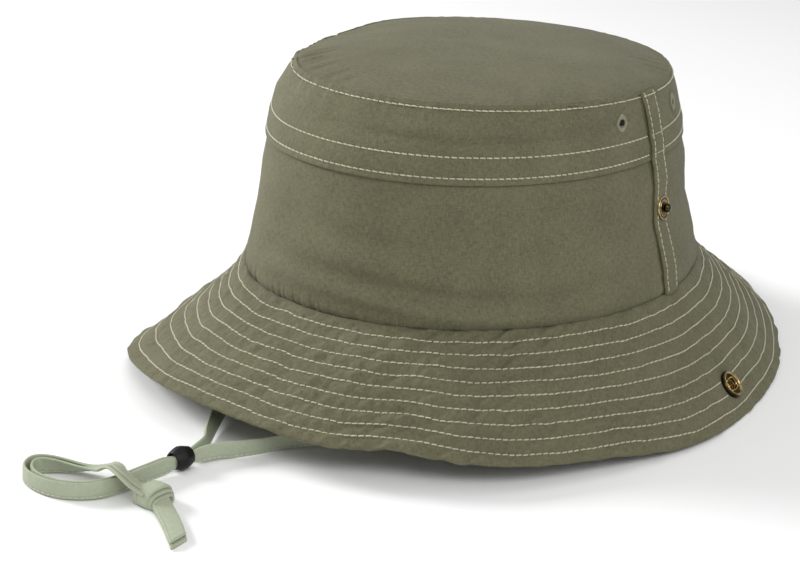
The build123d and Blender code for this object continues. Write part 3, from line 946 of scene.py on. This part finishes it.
def build_tape(name, route, keys, materials, seed):
    """One tape of the chin strap, flat in section, with its row of stitches."""
    line = spline_line(f"{name}_line", route)
    run = arc_length(line)
    marks = [run[np.argmin(np.linalg.norm(line - np.array(route[k]), axis=1))] for k, _ in keys]
    across = np.array([direction for _, direction in keys])
    across = np.stack([eased(np.interp(run, marks, across[:, k])) for k in range(3)], axis=-1)
    sway = np.stack([noise(run / (13 * mm), k + 0.5, seed + 3) for k in range(3)], axis=-1)
    wide, thin = ribbon_axes(line, across + 0.07 * sway)
    near_bead = np.linalg.norm(line - bead_middle, axis=1)
    squeeze = np.exp(-((near_bead / (5.6 * mm)) ** 3))
    width = tape_width * (1 - 0.44 * squeeze) * (1 + 0.03 * noise(run / (9 * mm), 0.5, seed))
    thick = tape_thick * (1 + 0.12 * noise(run / (6 * mm), 0.5, seed + 1))
    loops = ribbon_loops(line, wide, thin, width, thick)
    loops[..., 2] = np.maximum(loops[..., 2], tape_clear)
    piece = loft(name.replace("strap", "tape"), loops, False, materials["tape"])
    settle(piece, "hat", "chin_tape", name)

    threads = Threads()
    for face in (-1, 1):
        seam = line - wide * (0.36 * width)[:, None] + thin * (face * thick * 0.36)[:, None]
        threads.row(seam, face * thin, pitch=1.9 * mm, share=0.7, radius=0.17 * mm, seed=seed)
    stitches = threads.piece(f"{piece.name}_stitches", materials["tape_thread"])
    settle(stitches, "hat", "chin_tape")
    return piece, line, stitches


def build_chin_strap(materials):
    """Both tapes, the bead, the knot and the tails."""
    left, left_line, left_stitches = build_tape(
        "chin_strap_left", left_route, left_across, materials, 61
    )
    right, right_line, right_stitches = build_tape(
        "chin_strap_right", right_route, right_across, materials, 71
    )
    bead = build_bead(materials["plastic"])
    knot = build_knot(materials["tape"])
    tails = build_tails(materials["tape"])


def smooth_outline(outline, steps=6):
    """Catmull-Rom curve through the points of an outline."""
    points = np.array(outline, float)
    padded = np.concatenate([points[:1], points, points[-1:]])
    share = (np.arange(steps) / steps)[:, None]
    spans = []
    for before, start, end, after in zip(padded, padded[1:], padded[2:], padded[3:]):
        spans.append(0.5 * (2 * start + (end - before) * share
                            + (2 * before - 5 * start + 4 * end - after) * share**2
                            + (3 * start - before - 3 * end + after) * share**3))
    return np.concatenate(spans + [points[-1:]])


def lathe(name, outline, origin, axis, material, count=64, shade=None):
    """Body of revolution; outline is (radius, height) in millimetres along the axis.

    shade is a second finish and its bands on the upper side: from one radius to another, and
    below a height."""
    curve = smooth_outline(outline) * mm
    axis = unit(np.array(axis, float))
    reference = np.array([0.0, 1.0, 0.0]) if abs(axis[1]) < 0.9 else np.array([1.0, 0.0, 0.0])
    first = unit(np.cross(reference, axis))
    second = np.cross(axis, first)
    angles = np.arange(count) * full_turn / count
    radius = np.maximum(curve[:, :1], 0)
    points = origin + spokes(angles, first, second)[:, None] * radius + axis * curve[:, 1:]
    faces = grid_faces(count, len(curve), len(curve) - 1)
    piece = make_mesh(name, points, faces, material, weld=True)
    # The second finish paints shade in the hollows together with dark metal.
    if shade:
        second_finish, bands = shade
        piece.data.materials.append(second_finish)
        for face in piece.data.polygons:
            offset = np.array(face.center) - origin
            high = offset @ axis
            out = np.linalg.norm(offset - axis * high)
            if high > 0 and any(near * mm <= out < far * mm and high < top * mm
                                for near, far, top in bands):
                face.material_index = 1
    return piece


def join_pieces(name, parts):
    """One object from several closed bodies."""
    joined = parts[0]
    edit_mesh([part.data for part in parts], joined.data)
    for part in parts[1:]:
        bpy.data.objects.remove(part)
    joined.name = name
    return joined


def build_bead(material):
    """Moulded bead with flat facets all round, drilled through for the two tapes."""
    run = unit(np.array(left_route[11]) - np.array(left_route[10]))
    outline = np.array([(2.5, -3.5), (3.1, -3.6), (3.85, -1.6), (4.15, 0), (3.85, 1.6), (3.1, 3.6),
                        (2.5, 3.5)]) * mm
    first = unit(np.cross(upright, run))
    second = np.cross(run, first)
    facets = 10
    turn = (np.arange(facets) + 0.5) * full_turn / facets
    around = spokes(turn, first, second)[:, None]
    points = bead_middle + around * outline[:, :1] + run * outline[:, 1:]
    faces = grid_faces(facets, len(outline), len(outline))
    bead = make_mesh("slider_bead", points, faces, material)
    edit_mesh([bead.data], bead.data, lambda shape: bmesh.ops.bevel(
        shape, geom=shape.edges[:], offset=0.22 * mm, segments=2, profile=0.5, affect="EDGES"))
    return settle(bead, "cord_bead", "bead_plastic", "cord_bead")


tail_turn = radians(-35.6)
tail_root, tail_length = (-2.0 * mm, -184.0 * mm), 27.0
tail_width, tail_thick = 6.1 * mm, 1.1 * mm
tail_along = np.array([cos(tail_turn), sin(tail_turn), 0.0])
tail_beside = np.array([-tail_along[1], tail_along[0], 0.0])


# Turns of the knot: steps down; place along it, reach, height, width and lean in millimetres;
# tilt of the tape; direction in degrees.
knot_wraps = [
    (0, (-0.9, 4.7, 3.0, 6.6, 0.5), 0.06, 31),
    (1, (0.4, 4.3, 2.4, 6.4, 0.4), 0.03, 29),
    (2, (1.4, 3.8, 1.7, 6.2, 0.2), 0.0, 30),
    (2, (0.6, 2.9, 0.6, 6.8, 0.0), 0.0, 30),
    (0, (-1.7, 4.1, 2.5, 5.0, 0.4), -0.1, 48),
]


def knot_wrap(middle, sizes, shift, turn_deg, material):
    """One turn of tape round the knot, across its length."""
    along, reach, height, width, lean = sizes
    angles = np.linspace(0, full_turn, 96, endpoint=False)
    yaw = radians(turn_deg)
    axis = tail_along * cos(yaw) + tail_beside * sin(yaw)
    beside = np.array([-axis[1], axis[0], 0.0])
    across = np.sign(np.cos(angles)) * np.abs(np.cos(angles)) ** 0.72 * reach
    rise = np.sign(np.sin(angles)) * np.abs(np.sin(angles)) ** 0.66 * height
    drift = along + lean * np.sin(angles + 0.6)
    line = middle + beside * across[:, None] + upright * rise[:, None] + axis * drift[:, None]
    ahead = unit(np.roll(line, -1, axis=0) - np.roll(line, 1, axis=0))
    wide = unit(axis + shift * upright * np.sin(angles)[:, None])
    thin = unit(np.cross(ahead, wide))
    wide = np.cross(thin, ahead)
    widths = width * (1 + 0.05 * noise(np.arange(96) / 9.0, 0.5, 83))
    loops = ribbon_loops(line, wide, thin, widths, np.full(96, 1.3 * mm))
    return loft("wrap", loops, True, material)


def build_knot(material):
    """Overhand knot of two tapes: turns laid round each other and pulled flat."""
    low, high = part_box("strap_knot")
    middle = np.array((low + high) / 2) + np.array([0.5, 1.5, -0.8]) * mm
    down = np.array([0.0, 0.0, -0.5 * mm])
    wraps = [
        knot_wrap(middle + down * lower, np.array(sizes) * mm, shift, turn_deg, material)
        for lower, sizes, shift, turn_deg in knot_wraps
    ]
    for wrap in wraps:
        for vertex in wrap.data.vertices:
            vertex.co.z = max(vertex.co.z, tape_clear)
    return settle(join_pieces("knot", wraps), "hat", "chin_tape", "strap_knot")


def build_tails(material):
    """Both ends of tape past the knot, one on the other, cut off at a slant."""
    parts = []
    for layer in range(2):
        share = np.linspace(0, 1, 50)
        root = np.array([*tail_root, (0.62 + 1.15 * layer) * mm])
        length = (tail_length - 1.2 * layer) * mm
        bow = 0.7 * mm * np.sin(pi * share)
        lift = 2.0 * mm * (1 - share) ** 4 + 0.2 * mm * layer * share**2
        line = root + tail_along * (share * length)[:, None] + tail_beside * bow[:, None]
        line = line + upright * lift[:, None]
        thin = unit(np.cross(np.gradient(line, axis=0), tail_beside))
        wide = np.repeat(tail_beside[None], len(line), axis=0)
        loops = ribbon_loops(line, wide, thin, np.full(50, tail_width), np.full(50, tail_thick))
        slant = tan(tail_turn) * (loops - line[:, None]) @ tail_beside
        loops = loops + tail_along * (slant * share[:, None] ** 2)[..., None]
        parts.append(loft("tail", loops, False, material))
    return settle(join_pieces("tails", parts), "hat", "chin_tape", "strap_tails")


# ---------------------------------------------------------------- side straps
strap_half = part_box("side_strap_left")[1].y
strap_cloth = 1.1 * mm
strap_rows = (-3.6 * mm, 3.5 * mm)
strap_path = smooth_outline([
    (seam_oval[0] + 0.05 * mm, seam_z + 0.4 * mm),
    (lap_oval[0] + 0.05 * mm, lap_oval[2] - 0.2 * mm),
    (lap_row_oval[0] + 0.05 * mm, lap_row_oval[2]),
    (shoulder_oval[0] + 0.25 * mm, shoulder_oval[2]),
    (tip_oval[0] + 0.3 * mm, tip_oval[2] - 0.1 * mm),
], steps=36)
strap_run = arc_length(strap_path)


def strap_surface(along, across, side):
    """Outer face of a side strap; along is the distance up from its foot."""
    x = np.interp(along, strap_run, strap_path[:, 0])
    z = np.interp(along, strap_run, strap_path[:, 1])
    slope_back = np.interp(along, strap_run, np.gradient(strap_path[:, 0], strap_run))
    rise = np.interp(along, strap_run, np.gradient(strap_path[:, 1], strap_run))
    wrapped = x * (1 - (across / seam_oval[1]) ** 2 / 2)
    relief = 0.85 * strap_cloth + 0 * along + humps(
        across, *[(-0.28 * mm, row, 0.55 * mm) for row in strap_rows], (0.16 * mm, 0, 2.4 * mm))
    relief = relief + 0.13 * mm * noise(along / (3.1 * mm), across / (3 * mm) + side, 51)
    relief = relief - 0.5 * mm * hump(np.abs(across), strap_half, 0.6 * mm)
    relief = relief - 0.85 * mm * np.clip(1 - (strap_run[-1] - along) / (5 * mm), 0, 1) ** 1.5
    ragged = 0.28 * mm * noise(along / (2.1 * mm), 0.5, 54)
    ragged = ragged + 0.3 * mm * noise(along / (9 * mm), 0.5, 55)
    across = across + np.sign(across) * ragged * (np.abs(across) / strap_half) ** 4
    across = across - strap_lean(z)
    points = [side * (wrapped + rise * relief), across + 0 * along, z - slope_back * relief]
    points = np.stack(points, axis=-1)
    return worn(points, np.arctan2(points[..., 1], points[..., 0]))


def strap_height_run(height):
    """Distance up the strap's path at which it reaches a height."""
    rising = strap_path[:, 1] <= tip_oval[2] - 0.3 * mm
    return float(np.interp(height, strap_path[rising, 1], strap_run[rising]))


def strap_line(along, across, side):
    """Points and outward normals on a strap."""
    along, across = np.broadcast_arrays(along, across)
    tiny = 0.05 * mm
    here = strap_surface(along, across, side)
    up = strap_surface(along + tiny, across, side) - strap_surface(along - tiny, across, side)
    over = strap_surface(along, across + tiny, side) - strap_surface(along, across - tiny, side)
    return here, unit(np.cross(over, up)) * side


def build_straps(materials, threads):
    """Both side straps, with the rows of stitches that hold them."""
    for name, side in sides.items():
        along = np.linspace(0, strap_run[-1], 330)[:, None]
        across = np.linspace(-1, 1, 44)[None, :]
        across = np.sign(across) * np.abs(across) ** 0.9 * (strap_half - 0.3 * mm)
        points, normals = strap_line(along, across, side)
        loops = cloth_loops(points, normals, strap_cloth)
        strap = loft(f"strap_{name}", loops, False, materials["cloth"])
        settle(strap, "hat", "strap_cloth", f"side_strap_{name}")

        top_run = strap_run[-1] - 0.5 * mm
        for row in strap_rows:
            line, face = strap_line(np.linspace(0.8 * mm, top_run, 300), row, side)
            threads.row(line, face, pitch=2.3 * mm, radius=0.25 * mm, seed=51)
        for row, height in row_heights.items():
            reach = strap_half - 0.4 * mm
            line, face = strap_line(strap_height_run(height), np.linspace(-reach, reach, 60), side)
            radius = (0.24 if row == "top" else 0.15) * mm
            threads.row(line, face, pitch=2.2 * mm, radius=radius, seed=57)


def stretches(keep):
    """Runs of indices where keep is true."""
    runs = np.split(np.arange(len(keep)), np.flatnonzero(np.diff(keep)) + 1)
    return [run for run in runs if keep[run[0]] and len(run) > 3]


# ---------------------------------------------------------------- eyelets
eyelet_outer = (2.75 * mm, 3.6 * mm)
eyelet_hole = 1.5 * mm


def eyelet_places():
    """Centre, outward, level and upward directions of each eyelet, by side."""
    places = {}
    for name, side in sides.items():
        places[name] = []
        for way in (-1, 1):
            turn = way * eyelet_turn if side > 0 else pi - way * eyelet_turn
            centre, aside, above = (
                upper_surface(np.array(turn + over), np.array(eyelet_z + rise))
                for over, rise in ((0, 0), (0.004, 0), (0, 2 * mm))
            )
            level, upward = unit(aside - centre), unit(above - centre)
            outward = unit(np.cross(level, upward))
            places[name].append((centre, outward, level, np.cross(outward, level)))
    return places


def build_eyelets(materials):
    """Embroidered eyelets: threads laid over a pointed oval, with a near-black disc of painted
    shade in the hole, which is not cut through.
    """
    steps, count, ridges = 14, 260, 30
    angles = np.arange(count) * full_turn / count
    point = 1.35
    lens = (np.abs(np.cos(angles)) ** point / eyelet_outer[0] ** point
            + np.abs(np.sin(angles)) ** point / eyelet_outer[1] ** point) ** (-1 / point)
    share = np.linspace(0, 1, steps)
    radius = eyelet_hole + (lens[:, None] - eyelet_hole) * share
    swell = np.sin(pi * share) ** 0.5 * 0.55 * mm
    thread = (1 + 0.16 * np.cos(angles * ridges)[:, None] * np.sin(pi * share))
    height = swell * thread + 0.3 * mm
    depth = 1.9 * mm
    for name, spots in eyelet_places().items():
        parts = []
        for centre, outward, level, upward in spots:
            reach = spokes(angles, level, upward)[:, None] * radius[..., None]
            top = centre + reach + outward * height[..., None]
            under = centre + reach * np.where(share < 0.4, 1, 0.96)[:, None]
            under = under - outward * (depth * (1 - share**0.35) + 0.15 * mm)[:, None]
            loops = np.concatenate([top, under[:, ::-1]], axis=1)
            parts.append(loft("eyelet", loops, True, materials["eyelet"]))
            # Painted shade: a near-black disc closes each hole where its depth would be dark.
            disc = [(0, 0.32), (1.55, 0.32), (1.65, 0.2), (1.55, 0.1), (0, 0.1)]
            parts.append(lathe("hole", disc, centre, outward, materials["dark"], count=32))
        finishes = [materials["eyelet"], materials["dark"]]
        ring = join_with_materials(f"eyelet_rings_{name}", parts, finishes)
        settle(ring, "hat", "eyelet_thread", f"eyelets_{name}")


def join_with_materials(name, parts, finishes):
    """Joins closed bodies and keeps each one's finish."""
    marks = [finishes.index(part.data.materials[0]) for part in parts]
    sizes = [len(part.data.polygons) for part in parts]
    joined = join_pieces(name, parts)
    joined.data.materials.clear()
    for finish in finishes:
        joined.data.materials.append(finish)
    joined.data.polygons.foreach_set("material_index", np.repeat(marks, sizes).astype(np.int32))
    joined.data.update()
    return joined


# ---------------------------------------------------------------- press snaps
strap_slope = unit(np.array([seam_oval[0] - lap_oval[0], 0.0, -(lap_oval[2] - seam_z)]))
strap_out = np.array([-strap_slope[2], 0.0, strap_slope[0]])
stud_z = float(box_centre("snap_stud_left")[2])
stud_x = seam_oval[0] + 0.05 * mm + (stud_z - seam_z) * strap_slope[0] / strap_slope[2]
stud_x = stud_x + strap_cloth / strap_out[0]

socket_outline = [
    (0, -1.45), (1.7, -1.45), (2.05, -1.2), (2.1, 0.2), (2.35, 0.45), (3.4, 0.5), (3.85, 0.75),
    (3.95, 1.35), (4.2, 1.78), (4.6, 1.92), (5.0, 1.8), (5.35, 1.4), (5.45, 0.9), (5.35, 0.35),
    (5.05, 0.05), (4.0, 0.02), (2.6, -0.1), (2.5, -1.6), (0, -1.7),
]
stud_outline = [
    (0, 3.3), (0.7, 3.2), (1.3, 2.85), (1.65, 2.35), (1.75, 1.85), (1.6, 1.4), (1.35, 1.05),
    (1.4, 0.75), (2.0, 0.45), (2.7, 0.5), (3.05, 0.85), (3.4, 0.6), (3.75, 0.5), (4.15, 0.8),
    (4.4, 0.7), (4.5, 0.35), (4.3, 0.06), (2.0, 0.02), (0, 0.02),
]
cap_outline = [
    (0, -4.7), (2.4, -4.6), (4.5, -4.1), (5.7, -3.35), (6.2, -2.95), (6.15, -2.7), (5.0, -2.65),
    (0, -2.65),
]
post_outline = [(0, -3.4), (3.6, -3.3), (4.4, -3.1), (4.5, -2.85), (4.2, -2.65), (0, -2.6)]


def bent_wire(middle, along, out, half, radius, material):
    """A short spring wire that bows outwards."""
    share = np.linspace(-1, 1, 24)
    line = middle + along * (share * half)[:, None] - out * (0.55 * mm * share**2)[:, None]
    wide, thin = ribbon_axes(line, np.repeat(out[None], 24, axis=0))
    angles = np.arange(12) * full_turn / 12
    loops = (line[:, None] + radius * (wide[:, None] * np.cos(angles)[:, None]
                                       + thin[:, None] * np.sin(angles)[:, None]))
    return loft("wire", loops, False, material)


def build_snaps(materials):
    """Stud and rivet on each strap; socket, springs and cap on each side of the brim."""
    material, dark_and_shade, wire = materials["brass"], materials["dark_and_shade"], materials["wire"]
    for name, side in sides.items():
        mirror = np.array([side, 1, 1])
        stud_place = worn(np.array([stud_x, 0, stud_z]) * mirror, np.array(0.0 if side > 0 else pi))
        # The ball, the hollow round it and a groove in the flange take near-black brass: painted
        # shade together with dark metal.
        stud = lathe(f"stud_{name}", stud_outline, stud_place, strap_out * mirror, material,
                     shade=(dark_and_shade, [(0, 2.6, 9), (3.3, 3.95, 2)]))
        settle(stud, "hat", "antique_brass", f"snap_stud_{name}")
        rivet = lathe(f"stud_rivet_{name}", post_outline, stud_place, strap_out * mirror, material)
        settle(rivet, "hat", "antique_brass", f"snap_post_{name}")
        body = f"side_brim_{name}"
        place, out = snap_centres[name], brim_up * mirror
        # The middle, the well and the outer skirt take near-black brass: painted shade in the
        # hollows together with dark metal.
        socket = lathe(f"socket_{name}", socket_outline, place, out, material, count=96,
                       shade=(dark_and_shade, [(0, 1.0, 9), (2.2, 3.8, 9), (4.95, 6, 9)]))
        settle(socket, body, "antique_brass", f"snap_socket_{name}")
        cap = lathe(f"socket_cap_{name}", cap_outline, place, out, materials["aged"])
        settle(cap, body, "antique_brass", f"snap_cap_{name}")
        wires = []
        for way in (-1, 1):
            across = brim_down * mirror * way
            middle = place + out * 1.2 * mm + across * 2.35 * mm
            wires.append(bent_wire(middle, np.array([0.0, 1.0, 0.0]), across, 3.0 * mm, 0.28 * mm,
                                   wire))
        settle(join_pieces(f"springs_{name}", wires), body, "spring_wire", f"snap_spring_{name}")


# ---------------------------------------------------------------- sweatband
def build_sweatband(materials, threads):
    """Band inside the head opening, sewn at its lower edge."""
    levels = [band_low.z, seam_z, band_high.z]
    foot = (band_high.x, -band_low.y)
    part_way = (band_high.z - seam_z) / (lap_oval[2] - seam_z)
    lean = part_way * (seam_oval[0] - (lap_oval[0] - 1.0 * mm))
    top = (foot[0] - lean, foot[1] - part_way * (seam_oval[1] - (lap_oval[1] - 1.0 * mm)))
    turn = np.linspace(0, full_turn, 700, endpoint=False)[:, None]
    height = np.linspace(levels[0], levels[2], 60)[None, :]

    def face(turn, height):
        x = np.interp(height, levels, [foot[0], foot[0], top[0]]) - 0.85 * mm
        y = np.interp(height, levels, [foot[1], foot[1], top[1]]) - 0.85 * mm
        loose = np.clip((height - levels[1]) / (levels[2] - levels[1]), 0, 1)
        ease = -0.5 * mm * loose * (1 + noise(turn / full_turn * 24, height / (30 * mm), 91, 24))
        ease = ease - 0.25 * mm * noise(turn / full_turn * 110, height / (9 * mm), 92, 110) * loose
        points = [(x + ease) * np.cos(turn), (y + ease) * np.sin(turn), height + 0 * turn]
        return worn(np.stack(points, axis=-1), turn)

    points = face(*np.broadcast_arrays(turn, height))
    normals = -grid_normals(points, True)
    piece = loft("head_band", cloth_loops(points, normals, 0.8 * mm), True, materials["band"])
    settle(piece, "hat", "sweatband", "sweatband")
    around = np.linspace(0, full_turn, 2000)
    for height in (band_low.z + 2.5 * mm, band_high.z - 3 * mm):
        line = face(around, np.full_like(around, height))
        above = face(around, np.full_like(around, height + 0.3 * mm))
        threads.row(line, -line_normals(line, above), seed=93)


# ---------------------------------------------------------------- build
def build_crown_rows(threads):
    """The three rows round the band, outside and inside; the straps cover them at the sides."""
    turn = np.linspace(0, full_turn, 2400)
    for seed, (row, height) in enumerate(row_heights.items()):
        level = np.full_like(turn, height)
        line = upper_surface(turn, level)
        above = upper_surface(turn, level + 0.3 * mm)
        normals = line_normals(line, above)
        depth = 1.05 * mm if row == "top" else 2.15 * mm
        threads.row(line - normals * depth, -normals, radius=0.18 * mm, seed=210 + seed)
        beside = np.abs(line[:, 1]) > strap_half + 0.3 * mm
        for stretch in stretches(beside):
            raised = line + normals * (0.2 if row == "top" else 0.0) * mm
            threads.row(raised[stretch], normals[stretch], slant=-0.06 * mm, seed=200 + seed)


def build_materials():
    return {
        "cloth": woven_finish("olive_poplin", (0.122, 0.116, 0.066), 0.36 * mm),
        "thread": thread_finish("ecru_thread", (0.46, 0.44, 0.315)),
        "eyelet": thread_finish("olive_thread", (0.205, 0.2, 0.13)),
        # Near-black finish that paints the shade inside the eyelet holes.
        "dark": plain_finish("hole_shade", (0.003, 0.003, 0.002), 1.0),
        "band": woven_finish("sweatband_twill", (0.085, 0.083, 0.055), 0.5 * mm),
        "tape": woven_finish("sage_tape", (0.375, 0.412, 0.302), 0.3 * mm, contrast=0.1),
        "tape_thread": thread_finish("sage_thread", (0.52, 0.55, 0.42)),
        "plastic": plastic_finish("black_plastic", (0.0012, 0.0012, 0.0013)),
        "brass": brass_finish("antique_brass", 1.0),
        "aged": brass_finish("aged_brass", 0.45),
        # Near-black brass for the snaps' hollows: painted shade together with dark metal.
        "dark_and_shade": brass_finish("brass_dark_and_shade", 0.11),
        "wire": brass_finish("spring_brass", 1.2),
    }


def build_all():
    materials = build_materials()
    add_camera()
    add_studio()
    build_chin_strap(materials)
    build_brim(materials)
    threads = Threads()
    for end, first, last in (("front", -180, 0), ("back", 0, 180)):
        build_wall(f"crown_lower_{end}", lower_surface, allowance_z, lower_high.z, first, last,
                   materials["cloth"])
        build_wall(f"crown_upper_{end}", upper_surface, upper_low.z, upper_high.z, first, last,
                   materials["cloth"], rows=60)
    build_tip(materials["cloth"])
    build_crown_rows(threads)
    build_straps(materials, threads)
    build_eyelets(materials)
    build_sweatband(materials, threads)
    build_snaps(materials)
    stitches = threads.piece("crown_stitches", materials["thread"])
    settle(stitches, "hat", "eyelet_thread")


build_all()
